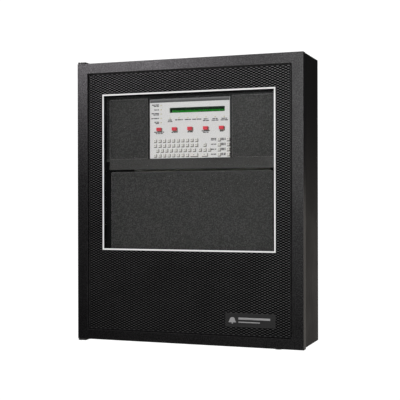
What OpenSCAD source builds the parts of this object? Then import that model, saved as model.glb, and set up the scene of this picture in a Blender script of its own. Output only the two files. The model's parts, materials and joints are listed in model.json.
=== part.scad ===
// Wall-mounted fire alarm control panel: a sheet-steel cabinet with a pin-hinged, glazed door over an
// operator display, blank plates and dress panels, with the control electronics and two standby
// batteries behind them. Millimetres, +Z up. The front faces -Y and the cabinet's back lies on y = 0.
// The origin is the centre of the four wall screws, which is the centre of the cabinet's back.

/* [Cabinet] */
// Width over the door
door_w = 613; // [540:1:760]
// Height of the door
door_h = 727; // [600:1:900]
// Depth from the wall to the face of the door
overall_depth = 160; // [150:1:200]
// Sheet thickness of the cabinet
box_sheet = 1.9; // [1.2:0.1:2.5]
// How far each side of the cabinet sits inside the door's side
box_side_inset = 1; // [0.5:0.1:2]
// How far the door reaches below the cabinet
door_drop = 3; // [1:0.5:6]
// Width of the inward lip around the cabinet's mouth
lip_w = 14; // [10:1:18]
// Horizontal distance between wall screws
wall_screw_dx = 508; // [420:1:520]
// Vertical distance between wall screws
wall_screw_dz = 500; // [420:1:560]
// Radius of the wall-screw holes
wall_screw_r = 4; // [3:0.25:6]
// Radius of the conduit knockouts
knockout_r = 11.1; // [8:0.1:14]

/* [Door] */
// Depth of the door
door_depth = 22; // [20:1:30]
// Gap between the door's flanges and the cabinet
door_gap = 2; // [1.5:0.1:4]
// Sheet thickness of the door frame
door_sheet = 2; // [1.5:0.1:3]
// Width of the door's side rails
rail_side_w = 28.5; // [26:0.5:40]
// Width of the door's top rail
rail_top_w = 26; // [25:0.5:40]
// Width of the door's bottom rail
rail_bottom_w = 25.3; // [25:0.1:40]
// Width of the bevel inside the rails
bevel_w = 4; // [2:0.5:5]
// Depth of the bevel, which is how far the grille lies behind the rails
bevel_depth = 4.5; // [3:0.5:6]
// Thickness of the grille
grille_t = 1.5; // [1:0.1:2]
// Sheet thickness of the skin behind the grille
skin_t = 1.5; // [1:0.1:2]

/* [Window] */
// Width of the window opening
window_w = 463; // [380:1:500]
// Height of the window opening
window_h = 400.3; // [330:0.1:480]
// Distance from the door's top edge down to the window opening
window_drop = 87.1; // [70:0.1:110]
// Width of the window's border
trim_w = 3.9; // [3:0.1:8]
// Thickness of the border and of its inner leg
trim_t = 1.5; // [1:0.1:2]
// Thickness of the window pane
pane_t = 3; // [2:0.5:4]
// How far the pane reaches past the opening on each side
pane_overlap = 12; // [10:1:16]

/* [Hinge] */
// Radius of the hinge pins
pin_r = 3; // [2:0.1:4]
// Radial clearance between a hinge pin and the door
pin_clearance = 0.08; // [0.03:0.01:0.1]
// Distance from the door's left side to the pin axis
hinge_inset = 6; // [5.5:0.1:7]
// Distance from the door's face to the pin axis
hinge_setback = 6; // [5.5:0.1:7]
// Width of the hinge brackets
bracket_w = 22; // [16:1:30]
// Thickness of the hinge brackets
bracket_t = 3.5; // [2:0.5:4]
// Gap between a hinge bracket and the door
bracket_gap = 0.8; // [0.5:0.1:1.5]

/* [Lock] */
// Distance from the door's right side to the lock
lock_inset = 66; // [50:1:120]
// Radius of the lock's barrel
barrel_r = 6; // [5:0.1:6.5]
// Radius of the lock's plug
plug_r = 4; // [3:0.1:4.5]
// Radial clearance between plug and barrel
plug_clearance = 0.08; // [0.03:0.01:0.1]
// Reach of the lock's cam from the plug's axis
cam_reach = 12.5; // [10:0.1:13]

/* [Dress panels] */
// Distance from the door's face to the front of the dress panels
dress_setback = 28; // [26:0.5:34]
// Sheet thickness of the dress panels
dress_sheet = 1.5; // [1:0.1:2]
// Depth of the dress panels' folded edges
dress_fold = 7; // [5:0.5:10]
// Gap between the window opening and the dress panels on each side
dress_reveal = 6.2; // [2:0.1:10]
// Distance from the window's top edge down to the blank plates
plate_drop = 9; // [4:0.5:15]
// Height of the blank plates
plate_h = 157.1; // [156:0.1:180]
// Gap between the display faceplate and each blank plate
plate_gap = 5.6; // [3:0.1:10]
// Corner radius of the blank plates
plate_corner_r = 3; // [1:0.5:6]
// Height of the sloping band below the plates
band_h = 27.7; // [20:0.1:35]
// How far the band's lower edge stands forward of its upper edge
band_slope = 4; // [0:0.5:5]
// Gap between the band and the lower dress panel
band_gap = 6.2; // [3:0.1:8]

/* [Display] */
// Width of the display faceplate
faceplate_w = 219; // [218:0.5:240]
// Height of the display faceplate
faceplate_h = 153.8; // [153:0.1:158]
// Thickness of the display faceplate
faceplate_t = 2.5; // [2:0.1:3]
// Width of the display's window
lcd_w = 150.5; // [120:0.5:152]
// Height of the display's window
lcd_h = 13.2; // [10:0.1:20]
// Distance between neighbouring keys
key_pitch = 12.7; // [10.5:0.1:13]
// Side of a key
key_w = 7.2; // [6:0.1:7.4]
// How far a key stands proud of the faceplate
key_proud = 2; // [1.5:0.1:3]
// Travel of a key
key_travel = 1.2; // [0.6:0.1:1.3]
// Width of a red event button
button_w = 12.5; // [10:0.1:16]
// Height of a red event button
button_h = 8.5; // [6:0.1:11]
// How far a red button stands proud of the faceplate
button_proud = 4.5; // [3:0.1:6]
// Travel of a red button
button_travel = 1.5; // [1:0.1:1.6]
// Clearance around keys and buttons in the faceplate
key_clearance = 0.3; // [0.2:0.05:0.4]
// Radius of the status lamps
led_r = 1.5; // [1:0.1:2]

/* [Electronics] */
// Width of the controller board
controller_w = 380; // [300:1:390]
// Height of the controller board
controller_h = 170; // [150:1:190]
// Width of the power supply board
supply_w = 210; // [180:1:220]
// Height of the power supply board
supply_h = 115; // [110:1:120]
// Thickness of the circuit boards
board_t = 1.6; // [1:0.1:2.4]
// Height of the spacers under the circuit boards
board_lift = 10; // [6:0.5:15]

/* [Batteries] */
// Width of a battery
battery_w = 181; // [150:1:200]
// Depth of a battery
battery_d = 77; // [65:1:95]
// Height of a battery
battery_h = 167; // [140:1:170]
// Gap between the two batteries
battery_gap = 18; // [6:1:30]

/* [Hidden] */
$fn = 48;
thin = 0.01;

door_x = door_w / 2;
box_x = door_x - box_side_inset;
box_z = (door_h - door_drop) / 2;
door_top = box_z;
door_bottom = -box_z - door_drop;

face_y = -overall_depth;
door_rear_y = face_y + door_depth;
box_front_y = door_rear_y + door_gap;
inside_y = -box_sheet;
inside_x = box_x - box_sheet;
inside_z = box_z - box_sheet;

// layers of the door, from the front to the back
grille_y = face_y + bevel_depth;
skin_y = grille_y + grille_t;
pane_y = skin_y + skin_t;
retainer_y = pane_y + pane_t;
trim_y = grille_y - trim_t;

// edges of the door's layers, measured in from the door's edge
grille_inset = 24;
skin_wall_inset = 22.5;
skin_rim_w = 10;

window_top = door_top - window_drop;
window_bottom = window_top - window_h;
window_x = window_w / 2;
layer_clearance = 0.2;
retainer_sheet = 1.5;
retainer_flange = 12;
retainer_screw_r = 1.5;

hinge_x = -door_x + hinge_inset;
hinge_y = face_y + hinge_setback;
hinge_boss_r = 5.4;
hinge_boss_h = 8;
bracket_rim = 2.2;
bracket_left = hinge_x - pin_r - bracket_rim;
bracket_right = bracket_left + bracket_w;
bracket_foot = 36;
pin_head_r = 5;
pin_head_h = 0.6;
pin_engage = 9;

lock_x = door_x - lock_inset;
lock_y = door_rear_y - door_depth / 2;
lock_head_r = 9;
lock_head_h = 1.6;
lock_nut_h = 3;
cam_t = 2;
cam_half_w = 3.5;
cam_hub_r = 5.4;
barrel_top = door_bottom + door_sheet + lock_nut_h + 3;
strike_t = 1.8;
strike_lift = 3;
strike_gap = 1.2;

dress_y = face_y + dress_setback;
backing_y = dress_y + dress_fold;
rail_y = backing_y + dress_sheet;
dress_x = window_x - dress_reveal;
plate_top = window_top - plate_drop;
plate_bottom = plate_top - plate_h;
band_bottom = plate_bottom - band_h;
lower_panel_top = band_bottom - band_gap;
lower_panel_bottom = -inside_z + lip_w + 8;
lower_panel_x = dress_x - 4.7;
plate_inner_x = faceplate_w / 2 + plate_gap;
backing_x = dress_x + 13;
backing_top = inside_z - lip_w - 4;
dress_rail_inner_x = lower_panel_x - 8;
dress_rail_outer_x = backing_x + 12;
dress_rail_leg = 14;
dress_screw_x = dress_x + 7;
dress_screw_r = 2;

// the display's stack, from the faceplate's front to the board's front
faceplate_top = plate_bottom + 0.5 + faceplate_h;
faceplate_bottom = faceplate_top - faceplate_h;
faceplate_rear_y = dress_y + faceplate_t;
flange_gap = 0.2;
key_flange_t = 1;
key_flange_w = 0.8;
mat_t = 1;
plunger_gap = 0.3;
board_front_y = faceplate_rear_y + 5.6;
mat_y = board_front_y - mat_t;
display_opening_x = faceplate_w / 2 - 5.5;
display_opening_bottom = faceplate_bottom + 3.8;
display_opening_top = faceplate_top - 5;
display_board_x = display_opening_x - 1;
mat_top = faceplate_top - 66;

// places on the faceplate: x from its centre, drop from its top edge
lcd_x = 21;
lcd_drop = 30;
lcd_module_w = 164;
lcd_module_h = 30;
lens_t = 1;
led_column_x = -78.3;
led_column_drop = 16.4;
led_column_pitch = 11.2;
led_column_count = 5;
led_row_x = -53.2;
led_row_drop = 50.2;
led_row_pitch = 24.65;
led_row_count = 7;
button_drop = 78.3;
button_x = 2.1;
button_pitch = 42.85;
button_count = 5;
key_drop = 107.4;
key_x = -95.4;
space_key_w = 20;
enter_key_w = 15.2;
arrow_x = 41.4;
function_x = [80.2, 104.5];
letter_row_counts = [10, 10, 9, 8];
letter_row_shift = [0, 0, 0.5, 0];

function drop_z(drop) = faceplate_top - drop;
function row_z(row) = drop_z(key_drop + row * key_pitch);
function key_columns(row) = [for (i = [0 : letter_row_counts[row] - 1]) key_x + (i + letter_row_shift[row]) * key_pitch];
function button_columns() = [for (i = [0 : button_count - 1]) button_x + (i - (button_count - 1) / 2) * button_pitch];
function led_places() = concat(
    [for (i = [0 : led_column_count - 1]) [led_column_x, drop_z(led_column_drop + i * led_column_pitch)]],
    [for (i = [0 : led_row_count - 1]) [led_row_x + i * led_row_pitch, drop_z(led_row_drop)]]);
space_key_x = key_x + (letter_row_counts[3] + 0.5) * key_pitch;

chassis_y = -20;
chassis_sheet = 1.5;
chassis_x = 200;
battery_floor = -inside_z;
battery_top = battery_floor + battery_h;
chassis_bottom = battery_top + 20;
chassis_top = inside_z - 30;
stud_r = 5;
stud_tip_r = 2.5;
stud_nut_r = 4.6;
stud_nut_h = 4;
chassis_front_y = chassis_y - chassis_sheet;
board_back_y = chassis_front_y - board_lift;
board_face_y = board_back_y - board_t;
controller_top = chassis_top - 12;
controller_bottom = controller_top - controller_h;
supply_bottom = chassis_bottom + 8;
supply_top = supply_bottom + supply_h;
supply_left = -chassis_x + 10;
supply_right = supply_left + supply_w;
transformer_x = (supply_right + chassis_x) / 2;
transformer_z = supply_bottom + supply_h / 2;
spacer_r = 3;
spacer_hole_r = 1.6;
battery_back_y = -8;
battery_front_y = battery_back_y - battery_d;
terminal_h = 7;
knockout_y = (box_front_y + inside_y) / 2;
knockout_pitch = 90;
knockout_proud = 0.4;
keyhole_drop = 34;

// ---- shared shapes ----

// a box between two opposite corners
module block(lo, hi) {
    translate(lo)
        cube(hi - lo);
}

// an upright box that is symmetric about x = 0
module wide_block(half_w, y0, y1, z0, z1) {
    block([-half_w, y0, z0], [half_w, y1, z1]);
}

// a flat rectangular ring around the window opening, between two distances outside the opening
module window_ring(inner, outer, y0, y1) {
    difference() {
        wide_block(window_x + outer, y0, y1, window_bottom - outer, window_top + outer);
        window_cut(inner, y0 - 1, y1 + 1);
    }
}

// the window opening grown by a margin
module window_cut(margin, y0, y1) {
    wide_block(window_x + margin, y0, y1, window_bottom - margin, window_top + margin);
}

// a round bar along Y
module rod_y(x, z, r, y0, y1) {
    translate([x, y0, z])
        rotate([-90, 0, 0])
            cylinder(r = r, h = y1 - y0);
}

// a plate with round corners, lying in XZ
module rounded_plate(x, z, w, h, r, y0, y1) {
    translate([x, y1, z])
        rotate([90, 0, 0])
            linear_extrude(y1 - y0) {
                square([w - 2 * r, h], center = true);
                square([w, h - 2 * r], center = true);
                for (sx = [-1, 1], sz = [-1, 1])
                    translate([sx * (w / 2 - r), sz * (h / 2 - r)])
                        circle(r = r);
            }
}

// a six-sided nut on the Y axis with a round hole
module nut_y(x, z, r, hole_r, y0, y1) {
    difference() {
        translate([x, y0, z])
            rotate([-90, 0, 0])
                cylinder(r = r, h = y1 - y0, $fn = 6);
        rod_y(x, z, hole_r, y0 - 1, y1 + 1);
    }
}

// ---- the cabinet ----

module wall_screw_places() {
    for (sx = [-1, 1], sz = [-1, 1])
        translate([sx * wall_screw_dx / 2, 0, sz * wall_screw_dz / 2])
            children();
}

module knockout_places() {
    for (i = [-2 : 2])
        translate([i * knockout_pitch, knockout_y, box_z - box_sheet])
            children();
}

module side_knockout_places() {
    for (i = [-1, 1])
        translate([-box_x + box_sheet, knockout_y, i * knockout_pitch / 2])
            rotate([0, -90, 0])
                children();
}

// hanging keyhole: a round entry below a narrow slot
module keyhole(x) {
    top = inside_z - keyhole_drop;
    rod_y(x, top - 14, 6.5, -box_sheet - 1, 1);
    rod_y(x, top, 3.2, -box_sheet - 1, 1);
    block([x - 3.2, -box_sheet - 1, top - 14], [x + 3.2, 1, top]);
}

module backbox() {
    color([0.16, 0.16, 0.17])
        difference() {
            wide_block(box_x, box_front_y, 0, -box_z, box_z);
            wide_block(inside_x, box_front_y + box_sheet, inside_y, -inside_z, inside_z);
            wide_block(box_x - lip_w, box_front_y - 1, box_front_y + box_sheet + 1,
                -box_z + lip_w, box_z - lip_w);
            wall_screw_places()
                rod_y(0, 0, wall_screw_r, -box_sheet - 1, 1);
            for (sx = [-1, 1])
                keyhole(sx * wall_screw_dx / 2);
            knockout_places()
                translate([0, 0, -1])
                    cylinder(r = knockout_r, h = box_sheet + 2);
            side_knockout_places()
                translate([0, 0, -1])
                    cylinder(r = knockout_r, h = box_sheet + 2);
        }
}

module knockout_slugs() {
    color([0.2, 0.2, 0.21]) {
        knockout_places()
            translate([0, 0, knockout_proud])
                cylinder(r = knockout_r, h = box_sheet);
        side_knockout_places()
            translate([0, 0, knockout_proud])
                cylinder(r = knockout_r, h = box_sheet);
    }
}

// a plate over one end of the door, with a foot on the cabinet's wall. side is 1 at the top, -1 below
module hinge_bracket(side, door_edge) {
    near = door_edge + side * bracket_gap;
    far = near + side * bracket_t;
    wall = side * box_z;
    difference() {
        union() {
            block([bracket_left, hinge_y - pin_r - bracket_rim, min(near, far)],
                [bracket_right, box_front_y + bracket_foot, max(near, far)]);
            block([bracket_left, box_front_y + 6, min(wall, far)],
                [bracket_right, box_front_y + bracket_foot, max(wall, far)]);
        }
        translate([hinge_x, hinge_y, min(near, far) - 1])
            cylinder(r = pin_r, h = bracket_t + 2);
    }
}

module hinge_brackets() {
    color([0.14, 0.14, 0.15]) {
        hinge_bracket(1, door_top);
        hinge_bracket(-1, door_bottom);
    }
}

// a headed pin through one bracket into the door
module hinge_pin(side, door_edge) {
    tip = door_edge - side * pin_engage;
    head = door_edge + side * (bracket_gap + bracket_t);
    translate([hinge_x, hinge_y, min(tip, head)])
        cylinder(r = pin_r, h = abs(head - tip));
    translate([hinge_x, hinge_y, side > 0 ? head : head - pin_head_h])
        cylinder(r = pin_head_r, h = pin_head_h);
}

module hinge_pins() {
    color([0.55, 0.55, 0.56]) {
        hinge_pin(1, door_top);
        hinge_pin(-1, door_bottom);
    }
}

// the hook on the cabinet's lip that the lock's cam turns behind
module lock_strike() {
    z0 = barrel_top - strike_lift;
    z1 = barrel_top + cam_t + strike_lift;
    hook_left = lock_x + cam_hub_r + strike_gap;
    leg = lock_x + cam_reach + strike_gap;
    hook_y = lock_y - cam_half_w - strike_gap - strike_t;
    color([0.5, 0.5, 0.52]) {
        block([hook_left, hook_y, z0], [leg + strike_t, hook_y + strike_t, z1]);
        block([leg, hook_y, z0], [leg + strike_t, box_front_y, z1]);
        block([leg, box_front_y - strike_t, z0], [leg + 12, box_front_y, z1]);
    }
}

// ---- the chassis and its fasteners ----

module stud_places() {
    for (sx = [-1, 1], z = [chassis_bottom + 10, (chassis_bottom + chassis_top) / 2, chassis_top - 6])
        translate([sx * (chassis_x - 6), 0, z])
            children();
}

module ground_stud() {
    x = inside_x - 40;
    z = -inside_z + 40;
    rod_y(x, z, 3, inside_y - 22, inside_y);
    nut_y(x, z, 5.8, 3, inside_y - 7, inside_y - 2);
    nut_y(x, z, 5.8, 3, inside_y - 16, inside_y - 11);
}

module studs_and_nuts() {
    color([0.62, 0.6, 0.5]) {
        stud_places() {
            rod_y(0, 0, stud_r, chassis_y, inside_y);
            rod_y(0, 0, stud_tip_r, chassis_front_y - stud_nut_h - 3, chassis_y);
            nut_y(0, 0, stud_nut_r, stud_tip_r, chassis_front_y - stud_nut_h, chassis_front_y);
        }
        ground_stud();
    }
}

module chassis_plate() {
    fold = 8;
    color([0.66, 0.67, 0.68])
        difference() {
            union() {
                wide_block(chassis_x, chassis_front_y, chassis_y, chassis_bottom, chassis_top);
                for (sx = [-1, 1])
                    block([sx > 0 ? chassis_x - chassis_sheet : -chassis_x, chassis_y - fold, chassis_bottom + 25],
                        [sx > 0 ? chassis_x : -chassis_x + chassis_sheet, chassis_y, chassis_top - 25]);
            }
            stud_places()
                rod_y(0, 0, stud_tip_r + 0.1, chassis_front_y - 1, chassis_y + 1);
            controller_spacer_places()
                rod_y(0, 0, spacer_hole_r, chassis_front_y - 1, chassis_y + 1);
        }
}

// ---- the dress panels ----

module dress_screw_places() {
    for (sx = [-1, 1]) {
        for (z = [plate_top + 24, backing_top - 12])
            translate([sx * dress_screw_x, backing_y, z])
                children();
        for (z = [lower_panel_bottom + 14, window_bottom - 24])
            translate([sx * dress_screw_x, backing_y, z])
                children();
    }
}

// one upright rail: a front flange and a leg folded back
module dress_rail() {
    block([dress_rail_inner_x, rail_y, -inside_z], [dress_rail_outer_x, rail_y + dress_sheet, inside_z]);
    block([dress_rail_outer_x - dress_sheet, rail_y, -inside_z],
        [dress_rail_outer_x, rail_y + dress_rail_leg, inside_z]);
}

module dress_rails() {
    color([0.1, 0.1, 0.1])
        difference() {
            for (m = [0, 1])
                mirror([m, 0, 0])
                    dress_rail();
            dress_screw_places()
                rod_y(0, 0, dress_screw_r, -1, 12);
        }
}

// section of the sloping band: front slope, lower lip and the fold that joins it to the backing
module band_section() {
    top_y = dress_y + 1.5;
    low_y = top_y - band_slope;
    polygon([
        [top_y, plate_bottom - 0.5],
        [low_y, band_bottom],
        [rail_y, band_bottom],
        [rail_y, band_bottom + dress_sheet],
        [low_y + 1.2 * dress_sheet, band_bottom + dress_sheet],
        [top_y + dress_sheet, plate_bottom - 0.5 - dress_sheet],
        [backing_y, plate_bottom - 0.5 - dress_sheet],
        [backing_y, plate_bottom - 0.5],
    ]);
}

module upper_dress_panel() {
    color([0.26, 0.26, 0.26])
        difference() {
            union() {
                wide_block(backing_x, backing_y, rail_y, plate_bottom - 6, backing_top);
                translate([-dress_x, 0, 0])
                    rotate([90, 0, 90])
                        linear_extrude(2 * dress_x)
                            band_section();
            }
            wide_block(display_opening_x, backing_y - 1, rail_y + 1, display_opening_bottom, display_opening_top);
            dress_screw_places()
                rod_y(0, 0, dress_screw_r + 0.2, -1, 12);
        }
}

// a shallow tray with a flat front and folded edges. x0 < x1
module dress_tray(x0, x1, z0, z1, r) {
    cx = (x0 + x1) / 2;
    cz = (z0 + z1) / 2;
    difference() {
        rounded_plate(cx, cz, x1 - x0, z1 - z0, r, dress_y, backing_y);
        rounded_plate(cx, cz, x1 - x0 - 2 * dress_sheet, z1 - z0 - 2 * dress_sheet, r - dress_sheet / 2,
            dress_y + dress_sheet, backing_y + 1);
    }
}

module blank_plate_left() {
    color([0.23, 0.23, 0.22])
        dress_tray(-dress_x, -plate_inner_x, plate_bottom, plate_top, plate_corner_r);
}

module blank_plate_right() {
    color([0.23, 0.23, 0.22])
        dress_tray(plate_inner_x, dress_x, plate_bottom, plate_top, plate_corner_r);
}

module lower_dress_panel() {
    color([0.22, 0.22, 0.22])
        difference() {
            union() {
                dress_tray(-lower_panel_x, lower_panel_x, lower_panel_bottom, lower_panel_top, plate_corner_r);
                for (sx = [-1, 1])
                    block([sx > 0 ? lower_panel_x - dress_sheet : -backing_x, backing_y, lower_panel_bottom + 4],
                        [sx > 0 ? backing_x : -lower_panel_x + dress_sheet, rail_y, window_bottom - 8]);
                for (sx = [-1, 1])
                    block([sx * (lower_panel_x - 4) - 3.2, backing_y, lower_panel_top - 40],
                        [sx * (lower_panel_x - 4) + 3.2, rail_y, lower_panel_top - 10]);
            }
            dress_screw_places()
                rod_y(0, 0, dress_screw_r + 0.2, -1, 12);
        }
}

module dress_screws() {
    color([0.6, 0.6, 0.6])
        dress_screw_places() {
            rod_y(0, 0, dress_screw_r, 0, 8);
            rod_y(0, 0, 3.6, -2.2, 0);
        }
}

// ---- the operator display ----

// the opening that a key or button passes through
module key_hole(x, z, w, h) {
    rounded_plate(x, z, w + 2 * key_clearance, h + 2 * key_clearance, 1.2, dress_y - 1, faceplate_rear_y + 1);
}

module faceplate_spacer_places() {
    for (x = [-70, 0, 70]) {
        translate([x, 0, faceplate_bottom + 1.9])
            children();
        translate([x, 0, faceplate_top - 2.5])
            children();
    }
}

module display_spacer_places() {
    for (sx = [-1, 1], drop = [9, 93])
        translate([sx * (display_board_x - 5), 0, drop_z(drop)])
            children();
}

module display_faceplate() {
    color([0.8, 0.8, 0.77])
        difference() {
            rounded_plate(0, (faceplate_top + faceplate_bottom) / 2, faceplate_w, faceplate_h, 1.5,
                dress_y, faceplate_rear_y);
            rounded_plate(lcd_x, drop_z(lcd_drop), lcd_w, lcd_h, 0.8, dress_y - 1, faceplate_rear_y + 1);
            for (p = led_places())
                rod_y(p.x, p.y, led_r + 0.1, dress_y - 1, faceplate_rear_y + 1);
            for (x = button_columns())
                key_hole(x, drop_z(button_drop), button_w, button_h);
            for (row = [0 : 3], x = key_columns(row))
                key_hole(x, row_z(row), key_w, key_w);
            for (x = function_x, row = [0 : 3])
                key_hole(x, row_z(row), key_w, key_w);
            key_hole(space_key_x, row_z(3), space_key_w, key_w);
            key_hole(arrow_x, row_z(3), enter_key_w, key_w);
            key_hole(arrow_x, row_z(1), key_w, key_w);
            for (i = [-1 : 1])
                key_hole(arrow_x + i * key_pitch, row_z(2), key_w, key_w);
        }
}

// a cap that passes through the faceplate, with a flange behind it that stops it falling out
module pressed_cap(x, z, w, h, proud, travel) {
    flange_y = faceplate_rear_y + flange_gap;
    rounded_plate(x, z, w, h, 0.9, dress_y - proud, flange_y + key_flange_t);
    rounded_plate(x, z, w + 2 * key_flange_w, h + 2 * key_flange_w, 1.2, flange_y, flange_y + key_flange_t);
    rod_y(x, z, 2, flange_y, mat_y - travel - plunger_gap);
}

module event_button(i) {
    color([0.78, 0.3, 0.34])
        pressed_cap(button_columns()[i - 1], drop_z(button_drop), button_w, button_h, button_proud, button_travel);
}

module key_cap(x, row, w = key_w) {
    color([0.84, 0.83, 0.79])
        pressed_cap(x, row_z(row), w, key_w, key_proud, key_travel);
}

module letter_keys(row) {
    for (x = key_columns(row))
        key_cap(x, row);
}

module function_keys(column) {
    for (row = [0 : 3])
        key_cap(function_x[column], row);
}

module keypad_mat() {
    color([0.25, 0.25, 0.25])
        difference() {
            wide_block(display_board_x, mat_y, board_front_y, display_opening_bottom + 1, mat_top);
            display_spacer_places()
                rod_y(0, 0, spacer_r + 0.5, mat_y - 1, board_front_y + 1);
        }
}

module lcd_module() {
    z = drop_z(lcd_drop);
    color([0.12, 0.2, 0.13])
        difference() {
            rounded_plate(lcd_x, z, lcd_module_w, lcd_module_h, 0.8, faceplate_rear_y + lens_t, board_front_y);
            rounded_plate(lcd_x, z, lcd_w + 1, lcd_h + 1, 0.8, faceplate_rear_y + lens_t - 1,
                faceplate_rear_y + lens_t + 1.4);
        }
}

module lcd_window() {
    color([0.3, 0.5, 0.3, 0.5])
        rounded_plate(lcd_x, drop_z(lcd_drop), lcd_w + 8, lcd_h + 8, 1, faceplate_rear_y, faceplate_rear_y + lens_t);
}

module display_board() {
    color([0.08, 0.3, 0.16])
        difference() {
            wide_block(display_board_x, board_front_y, board_front_y + board_t,
                display_opening_bottom + 1, display_opening_top - 1);
            display_spacer_places()
                rod_y(0, 0, spacer_hole_r, board_front_y - 1, board_front_y + board_t + 1);
        }
}

module status_leds() {
    color([0.86, 0.84, 0.78])
        for (p = led_places()) {
            rod_y(p.x, p.y, led_r, dress_y - 0.3, board_front_y);
            translate([p.x, dress_y - 0.3, p.y])
                sphere(r = led_r);
        }
}

module sounder() {
    rear = board_front_y + board_t;
    color([0.08, 0.08, 0.08])
        difference() {
            rod_y(-60, drop_z(34), 15, rear, rear + 9);
            rod_y(-60, drop_z(34), 2, rear + 5, rear + 10);
        }
}

// ---- the electronics on the chassis ----

module controller_spacer_places() {
    for (sx = [-1, 1], z = [controller_bottom + 6, controller_top - 6])
        translate([sx * (controller_w / 2 - 8), 0, z])
            children();
    for (x = [supply_left + 6, supply_right - 6], z = [supply_bottom + 6, supply_top - 6])
        translate([x, 0, z])
            children();
}

module board_spacers() {
    color([0.7, 0.66, 0.45]) {
        controller_spacer_places() {
            rod_y(0, 0, spacer_r, board_back_y, chassis_front_y);
            rod_y(0, 0, spacer_hole_r, board_face_y, board_back_y);
            rod_y(0, 0, spacer_r, board_face_y - 2, board_face_y);
        }
        display_spacer_places() {
            rod_y(0, 0, spacer_r - 0.6, faceplate_rear_y, board_front_y);
            rod_y(0, 0, spacer_hole_r, board_front_y, board_front_y + board_t);
            rod_y(0, 0, spacer_r, board_front_y + board_t, board_front_y + board_t + 2);
        }
        faceplate_spacer_places()
            rod_y(0, 0, 1.6, faceplate_rear_y, backing_y);
    }
}

module controller_board() {
    color([0.07, 0.32, 0.17])
        difference() {
            wide_block(controller_w / 2, board_face_y, board_back_y, controller_bottom, controller_top);
            controller_spacer_places()
                rod_y(0, 0, spacer_hole_r, board_face_y - 1, board_back_y + 1);
        }
}

// a component on the front of a chassis board
module component(x, z, w, h, d) {
    block([x - w / 2, board_face_y - d, z - h / 2], [x + w / 2, board_face_y, z + h / 2]);
}

module board_components() {
    color([0.09, 0.09, 0.1]) {
        for (i = [0 : 3])
            component(-140 + i * 36, controller_top - 45, 24, 24, 3);
        for (i = [0 : 5])
            component(-150 + i * 26, controller_top - 85, 9, 20, 4);
        for (i = [0 : 5])
            component(50 + i * 22, controller_top - 60, 16, 28, 16);
        for (i = [0 : 2])
            component(supply_left + 110 + i * 24, supply_top - 28, 18, 26, 16);
        component(supply_left + 62, supply_top - 24, 40, 22, 12);
    }
}

// a row of screw terminals
module terminal_row(x0, z, count) {
    pitch = 10;
    w = count * pitch;
    difference() {
        component(x0 + w / 2, z, w, 12, 14);
        for (i = [0 : count - 1]) {
            rod_y(x0 + (i + 0.5) * pitch, z + 1.5, 2.4, board_face_y - 15, board_face_y - 9);
            block([x0 + (i + 0.5) * pitch - 2.8, board_face_y - 9, z - 7],
                [x0 + (i + 0.5) * pitch + 2.8, board_face_y - 3, z - 3]);
        }
    }
}

module terminal_blocks() {
    color([0.1, 0.36, 0.2]) {
        terminal_row(-170, controller_bottom + 22, 14);
        terminal_row(10, controller_bottom + 22, 14);
        terminal_row(supply_left + 20, supply_bottom + 20, 8);
        terminal_row(supply_left + 120, supply_bottom + 20, 6);
    }
}

module power_supply_board() {
    color([0.5, 0.4, 0.18])
        difference() {
            block([supply_left, board_face_y, supply_bottom], [supply_right, board_back_y, supply_top]);
            controller_spacer_places()
                rod_y(0, 0, spacer_hole_r, board_face_y - 1, board_back_y + 1);
        }
}

// laminated core on two feet with a round-cornered winding in front and behind
module transformer() {
    w = 96;
    h = 80;
    core_d = 36;
    core_y = chassis_front_y - 46;
    color([0.24, 0.22, 0.2]) {
        difference() {
            block([transformer_x - w / 2, core_y, transformer_z - h / 2],
                [transformer_x + w / 2, core_y + core_d, transformer_z + h / 2]);
            for (sx = [-1, 1])
                rod_y(transformer_x + sx * (w / 2 - 7), transformer_z + h / 2 - 7, 2.2, core_y - 1, core_y + core_d + 1);
        }
        rounded_plate(transformer_x, transformer_z, w - 34, h - 30, 6, core_y - 12, core_y);
        rounded_plate(transformer_x, transformer_z, w - 34, h - 30, 6, core_y + core_d, chassis_front_y);
    }
}

module heatsink() {
    fins = 7;
    x = supply_left + 84;
    z = supply_bottom + supply_h / 2;
    color([0.55, 0.56, 0.58]) {
        component(x, z, 4, 40, 36);
        for (i = [0 : fins - 1])
            block([x + 2, board_face_y - 36 + i * 5, z - 20], [x + 14, board_face_y - 34.4 + i * 5, z + 20]);
    }
}

module capacitors() {
    color([0.12, 0.14, 0.3])
        for (i = [0 : 2])
            rod_y(supply_left + 24 + (i % 2) * 26, supply_bottom + 48 + floor(i / 2) * 26, 11,
                board_face_y - 38, board_face_y);
}

// ---- the batteries ----

// case with a lid step and two posts. left is the case's left side
module battery(left) {
    right = left + battery_w;
    lid = 12;
    block([left, battery_front_y, battery_floor], [right, battery_back_y, battery_top - lid]);
    block([left + 1, battery_front_y + 1, battery_top - lid], [right - 1, battery_back_y - 1, battery_top - terminal_h]);
    for (x = [left + 14, right - 14])
        block([x - 6, battery_front_y + 8, battery_top - terminal_h], [x + 6, battery_front_y + 20, battery_top]);
}

module battery_left() {
    color([0.12, 0.12, 0.13])
        battery(-battery_gap / 2 - battery_w);
}

module battery_right() {
    color([0.12, 0.12, 0.13])
        battery(battery_gap / 2);
}

// round wire through a list of points
module wire(points, r) {
    for (i = [0 : len(points) - 2]) {
        step = points[i + 1] - points[i];
        translate(points[i])
            rotate([0, acos(step.z / norm(step)), atan2(step.y, step.x)])
                cylinder(r = r, h = norm(step));
    }
    for (i = [1 : len(points) - 2])
        translate(points[i])
            sphere(r = r);
}

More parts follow.
